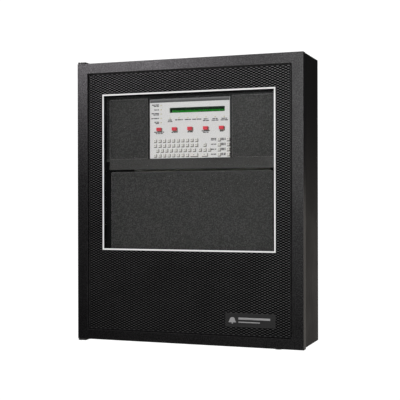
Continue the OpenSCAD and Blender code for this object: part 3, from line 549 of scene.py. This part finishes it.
def lcd_dots_and_shade():
    """Dark cells of the display, and the painted shade along its top and left edges."""
    dots = Finish("lcd_dots_and_shade", (0.004, 0.012, 0.005), 0.6, specular=0.05)
    return dots.grain(2000, 0.00001, (0.015, 0.035, 0.018)).done()


def clear_sheet(name, tone, roughness):
    """Clear plastic or glass that lets light through to what lies behind it."""
    glass = Finish(name, tone, roughness)
    glass.shader.inputs["Transmission Weight"].default_value = 1.0
    glass.shader.inputs["IOR"].default_value = 1.45
    glass.handled(shade(tone, 0.985), 0.5, scale=5, roughen=0.01)
    tree = glass.tree
    path = tree.nodes.new("ShaderNodeLightPath")
    through = tree.nodes.new("ShaderNodeBsdfTransparent")
    through.inputs["Color"].default_value = (*tone, 1)
    indirect = add_math(tree, "MAXIMUM", path.outputs["Is Shadow Ray"], path.outputs["Is Diffuse Ray"])
    mix_shaders(tree, indirect, glass.shader, through, tree.nodes["Material Output"])
    return glass.done()


def clear_pane():
    """The door's window."""
    return clear_sheet("clear_pane", (0.97, 0.975, 0.975), 0.0)


def lcd_lens():
    """The display's own cover, faintly green."""
    return clear_sheet("lcd_lens", (0.93, 0.96, 0.93), 0.02)


def lamp_cream():
    """Cream lens of the status lamps, unlit."""
    lamp = Finish("lamp_cream", (0.62, 0.56, 0.3), 0.3)
    return lamp.grain(1500, 0.00001, (0.68, 0.63, 0.38)).handled((0.55, 0.5, 0.26), 0.4, scale=80).done()


def badge_black():
    """Black plaque with rubbed edges."""
    paint = Finish("badge_black", (0.012, 0.012, 0.012), 0.3)
    return paint.grain(1600, 0.00003, (0.02, 0.02, 0.02)).wear_and_highlight((0.1, 0.1, 0.1), 0.5).done()


def badge_silver():
    """Bright relief on the plaque."""
    metal = Finish("badge_silver", (0.5, 0.5, 0.5), 0.32, metallic=0.8)
    return metal.brushed((0.4, 0.4, 0.4), scale=900).done()


def shade(colour, factor):
    """A colour made darker or lighter."""
    return tuple(min(1, factor * c) for c in colour)


def bright_steel(name, colour):
    """Plain rolled steel, brighter along its edges."""
    metal = Finish(name, colour, 0.34, metallic=1.0)
    return metal.brushed(shade(colour, 0.75)).wear_and_highlight(shade(colour, 1.3), 0.5).done()


def black_oxide():
    """Blackened steel of the window's screws."""
    metal = Finish("black_oxide", (0.02, 0.02, 0.02), 0.5, metallic=0.3, specular=0.2)
    return metal.brushed((0.03, 0.03, 0.03)).wear_and_highlight((0.06, 0.06, 0.06), 0.5).done()


def zinc_steel():
    """Zinc-plated steel, slightly yellow in patches."""
    metal = Finish("zinc_steel", (0.5, 0.5, 0.46), 0.42, metallic=0.9)
    return metal.brushed((0.42, 0.43, 0.36)).handled((0.56, 0.52, 0.4), 0.4, scale=18).done()


def lock_chrome():
    """Polished chrome of the lock, worn to brass at its edges."""
    metal = Finish("lock_chrome", (0.7, 0.7, 0.71), 0.12, metallic=1.0)
    return metal.handled((0.6, 0.6, 0.6), 0.5, scale=60, roughen=0.1).wear_and_highlight((0.45, 0.4, 0.3), 0.4).done()


def lock_brass():
    """Plain brass of the lock's plug."""
    metal = Finish("lock_brass", (0.62, 0.47, 0.2), 0.3, metallic=1.0)
    return metal.brushed((0.5, 0.36, 0.14)).done()


def fin_aluminium():
    """Extruded aluminium of the heatsink."""
    metal = Finish("fin_aluminium", (0.6, 0.61, 0.62), 0.38, metallic=1.0)
    return metal.brushed((0.5, 0.5, 0.52)).done()


def spacer_metal():
    """Brass look of the board spacers. Its name is that of the slot."""
    metal = Finish("spacer_nylon", (0.6, 0.48, 0.24), 0.35, metallic=1.0)
    return metal.brushed((0.5, 0.4, 0.2)).done()


def circuit_board(name, mask_colour, trace_colour):
    """Solder mask over a faint pattern of tracks."""
    board = Finish(name, mask_colour, 0.3)
    board.grain(260, 0.00003, trace_colour, speckle=0.7)
    return board.handled(trace_colour, 0.3, scale=40).done()


def moulded(name, colour, roughness=0.45, lighter=1.5):
    """Moulded plastic with a spark-eroded grain."""
    plastic = Finish(name, colour, roughness)
    plastic.grain(1600, 0.00006, shade(colour, lighter), speckle=0.35)
    return plastic.wear_and_highlight(shade(colour, 2.0), 0.4).done()


def core_iron():
    """Dark laminated iron of the transformer."""
    iron = Finish("core_iron", (0.07, 0.06, 0.05), 0.5, metallic=0.3)
    return iron.brushed((0.12, 0.1, 0.08), scale=700).wear_and_highlight((0.2, 0.17, 0.14), 0.5).done()


FINISHES = {
    "door_paint": door_paint(),
    "cabinet_paint": cabinet_paint(),
    "dress_paint": dress_paint("dress_paint", (0.009, 0.009, 0.0083), 1.0).done(),
    "inner_black_paint": inner_black_paint(),
    "grille_black": grille_black(),
    "white_border": white_border(),
    "faceplate_print": faceplate_print(),
    "key_rubber": key_rubber(),
    "key_print": key_print(),
    "dark_rubber": dark_rubber(),
    "red_button": red_button(),
    "lcd_green": lcd_green(),
    "lcd_lens": lcd_lens(),
    "clear_pane": clear_pane(),
    "lamp_cream": lamp_cream(),
    "badge_black": badge_black(),
    "bare_steel": bright_steel("bare_steel", (0.5, 0.5, 0.5)),
    "cam_steel": bright_steel("cam_steel", (0.55, 0.55, 0.52)),
    "zinc_steel": zinc_steel(),
    "lock_chrome": lock_chrome(),
    "lock_brass": lock_brass(),
    "fin_aluminium": fin_aluminium(),
    "spacer_nylon": spacer_metal(),
    "green_board": circuit_board("green_board", (0.01, 0.12, 0.04), (0.03, 0.2, 0.08)),
    "supply_board": circuit_board("supply_board", (0.28, 0.18, 0.06), (0.36, 0.25, 0.1)),
    "black_plastic": moulded("black_plastic", (0.02, 0.02, 0.02)),
    "terminal_green": moulded("terminal_green", (0.02, 0.16, 0.05)),
    "capacitor_sleeve": moulded("capacitor_sleeve", (0.02, 0.025, 0.1), 0.25),
    "battery_case": moulded("battery_case", (0.022, 0.022, 0.025)),
    "red_wire": moulded("red_wire", (0.35, 0.015, 0.015), 0.35),
    "flat_cable": moulded("flat_cable", (0.35, 0.35, 0.37), 0.5, 1.2),
    "core_iron": core_iron(),
}


def paint_nodes():
    """Gives each CAD node the finish of its material slot."""
    for part in frame["record"]["subparts"]:
        node = frame["nodes"][part["node"]]
        if not node.material_slots:
            node.data.materials.append(None)
        for material_slot in node.material_slots:
            material_slot.material = FINISHES[part["material_slot"]]
    frame["nodes"]["upper_dress_panel"].material_slots[0].material = upper_panel_paint_and_shade()


# ---- mesh helpers ----

def soften(names, width, segments=2):
    """Rounds the edges of CAD nodes, as folded sheet and moulded caps have them."""
    sharp = math.radians(35)
    for name in names:
        node = frame["nodes"][name]
        stored = node.data.attributes.get("custom_normal")
        if stored:
            node.data.attributes.remove(stored)
        weld = node.modifiers.new("weld", "WELD")
        weld.merge_threshold = SAME_PLACE
        bevel = node.modifiers.new("rounding", "BEVEL")
        bevel.width = width
        bevel.segments = segments
        bevel.limit_method = "ANGLE"
        bevel.angle_limit = sharp
        flat = node.modifiers.new("flat_faces", "WEIGHTED_NORMAL")
        flat.weight = 100
        for face in node.data.polygons:
            face.use_smooth = True


def add_piece(name, bm, material, body, smooth=False):
    """Makes an object of a bmesh, and lets it ride on a body."""
    data = bpy.data.meshes.new(name)
    bmesh.ops.recalc_face_normals(bm, faces=bm.faces)
    bm.to_mesh(data)
    bm.free()
    for face in data.polygons:
        face.use_smooth = smooth
    data.materials.append(material)
    piece = bpy.data.objects.new(name, data)
    bpy.context.scene.collection.objects.link(piece)
    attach(piece, body)
    return piece


def add_box(bm, low, high):
    """Adds a closed box between two corners."""
    corners = [bm.verts.new(point) for point in itertools.product(*zip(low, high))]
    for quad in ((0, 1, 3, 2), (4, 6, 7, 5), (0, 4, 5, 1), (2, 3, 7, 6), (0, 2, 6, 4), (1, 5, 7, 3)):
        bm.faces.new([corners[i] for i in quad])


def join_loops(bm, first, second):
    """Joins two closed loops of as many points each by a ring of faces."""
    for i in range(len(first)):
        j = (i + 1) % len(first)
        bm.faces.new((first[i], first[j], second[j], second[i]))


def circle(centre_x, centre_z, radius, count):
    """Points (x, z) round a circle."""
    angles = (math.tau * i / count for i in range(count))
    return [(centre_x + radius * math.cos(a), centre_z + radius * math.sin(a)) for a in angles]


def add_prism(bm, outline, y_front, y_back):
    """Adds a closed prism with an outline of (x, z) points, between two depths."""
    front = [bm.verts.new((x, y_front, z)) for x, z in outline]
    back = [bm.verts.new((x, y_back, z)) for x, z in outline]
    bm.faces.new(front)
    bm.faces.new(reversed(back))
    join_loops(bm, back, front)


def solids(node):
    """The lowest and highest corner of each separate solid in a CAD node."""
    bm = bmesh.new()
    bm.from_mesh(frame["nodes"][node].data)
    bmesh.ops.remove_doubles(bm, verts=bm.verts, dist=SAME_PLACE)
    left = set(bm.verts)
    boxes = []
    while left:
        reached = [left.pop()]
        found = []
        while reached:
            vert = reached.pop()
            found.append(vert.co.copy())
            for link in vert.link_edges:
                other = link.other_vert(vert)
                if other in left:
                    left.remove(other)
                    reached.append(other)
        boxes.append(tuple(Vector(map(end, zip(*found))) for end in (min, max)))
    bm.free()
    return boxes


# ---- the door's mesh ----

def add_net(low, high, depth):
    """Flattened expanded metal as two flat nets that share their edges: level bonds, and tilted strands.

    A bond reaches end_x to each side of its middle, and is 2 * bond_z high as far as flat_x. A strand's
    edges lie as far as twist in front of the bonds and behind them.
    """
    pitch_x, pitch_z = 13.6 * MM, 6.42 * MM
    end_x, flat_x, bond_z = 3.2 * MM, 1.9 * MM, 0.8 * MM
    twist = 0.25 * MM
    below = [(-end_x, 0), (-flat_x, -bond_z), (flat_x, -bond_z)]
    rim = below + [(-u, -w) for u, w in below]
    columns = math.ceil((high.x - low.x) / pitch_x * 2) + 1
    rows = math.ceil((high.z - low.z) / pitch_z * 2) + 1
    bonds, strands = bmesh.new(), bmesh.new()
    for i in range(columns):
        for j in range(rows):
            if (i + j) % 2:
                continue
            x, z = low.x + i * pitch_x / 2, low.z + j * pitch_z / 2
            bonds.faces.new([bonds.verts.new((x + u, depth, z + w)) for u, w in rim])
            for side in (-1, 1):
                next_x, next_z = x + side * pitch_x / 2, z + pitch_z / 2
                band = [
                    (x + side * end_x, depth, z),
                    (next_x - side * flat_x, depth + twist, next_z - bond_z),
                    (next_x - side * end_x, depth, next_z),
                    (x + side * flat_x, depth - twist, z + bond_z),
                ]
                strands.faces.new([strands.verts.new(point) for point in band])
    return bonds, strands


def cut_net(bm, low, high, trim):
    """Cuts the net along a rectangle's four sides, and drops what lies outside if trim is set."""
    for point, normal in ((low, (-1, 0, 0)), (low, (0, 0, -1)), (high, (1, 0, 0)), (high, (0, 0, 1))):
        everything = bm.verts[:] + bm.edges[:] + bm.faces[:]
        bmesh.ops.bisect_plane(bm, geom=everything, plane_co=point, plane_no=normal, clear_outer=trim)


def cut_window(bm, low, high):
    """Cuts a rectangular hole in the net."""
    cut_net(bm, low, high, trim=False)
    inside = []
    for face in bm.faces:
        middle = face.calc_center_median()
        if low.x < middle.x < high.x and low.z < middle.z < high.z:
            inside.append(face)
    bmesh.ops.delete(bm, geom=inside, context="FACES")


def make_grille():
    """Expanded metal over the door, framed by the window's border and the rails."""
    low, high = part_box("door_grille")
    border_low, border_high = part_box("window_trim")
    under_border = Vector((3 * MM, 0, 3 * MM))
    depth, thickness = low.y + 0.5 * MM, 0.6 * MM
    nets = add_net(low, high, depth)
    finishes = (grille_bonds(), FINISHES["grille_black"])
    for name, net, finish in zip(("grille_bonds", "grille_strands"), nets, finishes):
        cut_net(net, low, high, trim=True)
        cut_window(net, border_low + under_border, border_high - under_border)
        piece = add_piece(name, net, finish, "door")
        solid = piece.modifiers.new("thickness", "SOLIDIFY")
        solid.thickness = thickness
        solid.offset = -1
        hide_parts("door_grille")


def bell_outline(x, z, size):
    """Points of a plain bell: a round dome on a flared skirt."""
    dome_radius, skirt = 0.7 * size, 0.6 * size
    dome = circle(x, z, dome_radius, 24)[:13]
    return [(x + size, z - skirt)] + dome + [(x - size, z - skirt)]


def make_badge_relief():
    """A bell and two plain bars, bright against the plaque."""
    low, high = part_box("badge")
    middle = (low.z + high.z) / 2
    bell_x, bell_size = low.x + 18 * MM, 10 * MM
    clapper_z, clapper_radius = middle - 7.4 * MM, 2 * MM
    bars_start = 16
    front = low.y - 0.1 * MM
    back = low.y + 0.4 * MM
    bm = bmesh.new()
    add_prism(bm, bell_outline(bell_x, middle, bell_size), front, back)
    add_prism(bm, circle(bell_x, clapper_z, clapper_radius, 16), front + 0.05 * MM, back)
    for rise, length, height in ((4, 82, 5), (-5, 56, 2.5)):  # in millimetres
        add_box(bm, (bell_x + bars_start * MM, front, middle + (rise - height / 2) * MM),
            (bell_x + (bars_start + length) * MM, back, middle + (rise + height / 2) * MM))
    add_piece("badge_relief", bm, badge_silver(), "door")


# ---- the display's print ----

def add_words(bm, left, right, z, depth, seed):
    """A line of printing as plain bars, one for each word."""
    height, thickness = 2.4 * MM, 0.3 * MM
    gap = 1.2 * MM
    least_room, shortest = 1.5 * MM, 3 * MM
    rng = random.Random(seed)
    x = left
    while x < right - least_room:
        end = min(right, x + rng.uniform(5, 11) * MM)
        if right - end < shortest:
            end = right
        add_box(bm, (x, depth, z - height / 2), (end, depth + thickness, z + height / 2))
        x = end + gap


def make_legends():
    """The printed captions of lamps, buttons and keys.

    Each caption has a width in millimetres and a number of lines. Drops are from the faceplate's top.
    """
    low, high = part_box("display_faceplate")
    top = high.z
    depth = low.y - 0.05 * MM
    line = 3.5 * MM
    bm = bmesh.new()

    # The column of lamps at the left: captions that end at the lamps, with a shorter second line.
    right = -84.2 * MM
    first_drop, pitch = 16.4, 11.2
    for i, (width, lines) in enumerate(((19.5, 2), (13.5, 1), (20.8, 2), (21.5, 1), (12.8, 2))):
        for n in range(lines):
            z = top - (first_drop + pitch * i) * MM + (lines - 1) * line / 2 - n * line
            add_words(bm, right - width * MM * (1 - 0.25 * n), right, z, depth, 10 + i + n)

    # The row of lamps above the buttons: centred captions, with a shorter first line.
    captions = ((13.3, 2), (21, 1), (16.5, 1), (24.7, 1), (16.5, 2), (18.5, 2), (19.5, 2))
    first_x, pitch, drop, step = -53.2, 24.65, 55.0 * MM, 4 * MM
    for i, (width, lines) in enumerate(captions):
        x = (first_x + pitch * i) * MM
        for n in range(lines):
            half = width * MM / 2 * (0.75 + 0.25 * n if lines == 2 else 1)
            add_words(bm, x - half, x + half, top - drop - n * step, depth, 20 + i + n)

    # The buttons: centred captions, with a shorter second line.
    captions = ((28, 2), (16.5, 1), (14.7, 1), (22, 2), (9.5, 1))
    middle_x, pitch, drop, lift, step = 2.1, 42.85, 87.2, 1.6, 3.5
    for i, (width, lines) in enumerate(captions):
        x = (middle_x + pitch * (i - len(captions) // 2)) * MM
        for n in range(lines):
            half = width * MM / 2 * (1 - 0.3 * n)
            z = top - (drop - lift * (lines - 1) + step * n) * MM
            add_words(bm, x - half, x + half, z, depth, 30 + i + n)

    # The two columns of function keys: captions that end at the keys.
    first_drop, pitch = 107.4, 12.7
    for row in range(4):
        for right, width, lines in ((73, 14, 1 if row else 2), (98.5, 12, 2)):
            for n in range(lines):
                z = top - (first_drop + pitch * row) * MM + (lines - 1) * line / 2 - n * line
                add_words(bm, (right - width) * MM, right * MM, z, depth, 40 + row)
    add_piece("faceplate_legends", bm, legend_ink(), "cabinet")


def make_printed_band():
    """The grey strip printed along the faceplate's top edge."""
    low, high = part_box("display_faceplate")
    front, back = low.y - 0.03 * MM, low.y + 0.2 * MM
    side, height = 0.5 * MM, 9 * MM
    bm = bmesh.new()
    add_box(bm, (low.x + side, front, high.z - height), (high.x - side, back, high.z - 0.1 * MM))
    add_piece("printed_band", bm, band_ink(), "cabinet")


def cap_boxes(name):
    """The boxes of a node's caps where they pass through the faceplate, without their flanges."""
    flange = 0.8 * MM
    inset = Vector((flange, 0, flange))
    return [(low + inset, high - inset) for low, high in solids(name)]


def make_key_shading():
    """Painted shadow below and to the right of every key and button, where their shadows fall, which makes
    them stand out.
    """
    depth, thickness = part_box("display_faceplate")[0].y - 0.04 * MM, 0.1 * MM
    gap, start_x, start_z = 0.45 * MM, 0.8 * MM, 1.2 * MM
    bm = bmesh.new()
    # right and down: how far each painted shadow reaches past its cap.
    for names, right, down in ((KEY_NODES, 1.7 * MM, 2.1 * MM), (BUTTON_NODES, 2.2 * MM, 3.2 * MM)):
        for name in names:
            for cap_low, cap_high in cap_boxes(name):
                x0, x1 = cap_low.x + start_x, cap_high.x + gap
                z0, z1 = cap_low.z - gap, cap_high.z - start_z
                x2, z2 = x1 + right, z0 - down
                outline = [(x0, z0), (x0, z2), (x2, z2), (x2, z1), (x1, z1), (x1, z0)]
                add_prism(bm, outline, depth, depth + thickness)
    add_piece("key_shading", bm, painted_shadow_ink(), "cabinet")


def make_key_prints():
    """A small grey mark on the front of every grey key."""
    half_w, half_h = 1.4 * MM, 1.1 * MM
    for name in KEY_NODES:
        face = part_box(name)[0].y
        front, back = face - 0.05 * MM, face + 0.1 * MM
        bm = bmesh.new()
        for low, high in cap_boxes(name):
            x, z = (low.x + high.x) / 2, (low.z + high.z) / 2
            add_box(bm, (x - half_w, front, z - half_h), (x + half_w, back, z + half_h))
        add_piece(name + "_print", bm, FINISHES["key_print"], name)


def make_lcd_cells_and_shade():
    """Painted shade as a dark strip along the display's top and left edges, where its recess shades it, and
    two lines of dark character cells.
    """
    rim = Vector((4 * MM, 0, 4 * MM))
    low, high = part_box("lcd_window")
    low, high = low + rim, high - rim
    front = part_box("lcd_module")[0].y + 1.3 * MM
    back = front + 0.1 * MM
    pitch, columns = 3.7 * MM, 38
    cell_w, cell_h = 3.0 * MM, 4.4 * MM
    # Width of the painted shade along the top and left edges.
    mask = 6.6 * MM
    spaces = (7, 13, 24, 29, 34)
    rng = random.Random(7)
    bm = bmesh.new()
    # Painted shade of the recess: a strip along the top, then one down the left edge.
    add_box(bm, (low.x, front, high.z - mask), (high.x, back, high.z))
    add_box(bm, (low.x, front, low.z), (low.x + 0.8 * mask, back, high.z - mask))
    for line, first, least, most in ((0, 3, 0.15, 0.45), (1, 19, 0.6, 0.95)):
        for column in range(first, columns):
            if column in spaces:
                continue
            x = low.x + mask + column * pitch
            z = high.z - mask - line * cell_h
            height = rng.uniform(least, most) * cell_h
            add_box(bm, (x, front, z - height), (x + cell_w, back, z))
    add_piece("lcd_cells_and_shade", bm, lcd_dots_and_shade(), "cabinet")


# ---- screw heads ----

def add_pan_head(bm, centre, radius, height, facing):
    """A domed head with a cross recess. facing is -1 towards the operator and 1 towards the wall.

    A ring is given as shares of the radius and of the height. The last one is the recess, with its
    four arms at every fifth point.
    """
    rings = [(1.0, 0.0), (1.0, 0.35), (0.86, 0.72), (0.55, 0.95), (0.34, 1.0)]
    arm, floor = (0.3, 0.92), (0.1, 0.45)
    count = 20
    shapes = [[ring] * count for ring in rings] + [[floor if i % 5 else arm for i in range(count)]]
    loops = []
    for shape in shapes:
        loops.append([bm.verts.new((centre.x + share * radius * math.cos(math.tau * i / count),
            centre.y + facing * rise * height,
            centre.z + share * radius * math.sin(math.tau * i / count)))
            for i, (share, rise) in enumerate(shape)])
    for a, b in zip(loops, loops[1:]):
        join_loops(bm, a, b)
    bm.faces.new(loops[0])
    bm.faces.new(loops[-1])


def make_screw_heads(name, node, body, facing, finish):
    """Domed, cross-recessed heads in the place of a node's plain ones."""
    bm = bmesh.new()
    for low, high in solids(node):
        radius = (high.x - low.x) / 2
        centre = Vector(((low.x + high.x) / 2, 0, (low.z + high.z) / 2))
        head_height = 0.55 * radius
        centre.y = (high.y if facing > 0 else low.y) - facing * head_height
        add_pan_head(bm, centre, radius, head_height, facing)
        tip = low.y + 0.8 * MM if facing > 0 else high.y
        add_prism(bm, circle(centre.x, centre.z, 0.45 * radius, 12), centre.y, tip)
    piece = add_piece(name, bm, finish, body, smooth=True)
    piece.modifiers.new("flat_faces", "WEIGHTED_NORMAL")
    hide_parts(node)


# ---- the whole panel ----


add_camera()
add_world()
add_lights()
add_floor()
paint_nodes()
soften(["door_frame"], 0.4 * MM)
soften(["backbox", "hinge_brackets"], 0.5 * MM)
soften(["blank_plate_left", "blank_plate_right", "lower_dress_panel"], 0.5 * MM)
soften(["upper_dress_panel", "display_faceplate"], 0.3 * MM)
soften(["window_trim", "badge"], 0.3 * MM)
soften(KEY_NODES, 0.5 * MM, segments=3)
soften(BUTTON_NODES, 0.6 * MM, segments=3)
make_grille()
make_badge_relief()
make_legends()
make_printed_band()
make_key_shading()
make_key_prints()
make_lcd_cells_and_shade()
make_screw_heads("retainer_screw_heads", "retainer_screws", "door", 1, black_oxide())
make_screw_heads("dress_screw_heads", "dress_screws", "cabinet", -1, FINISHES["bare_steel"])
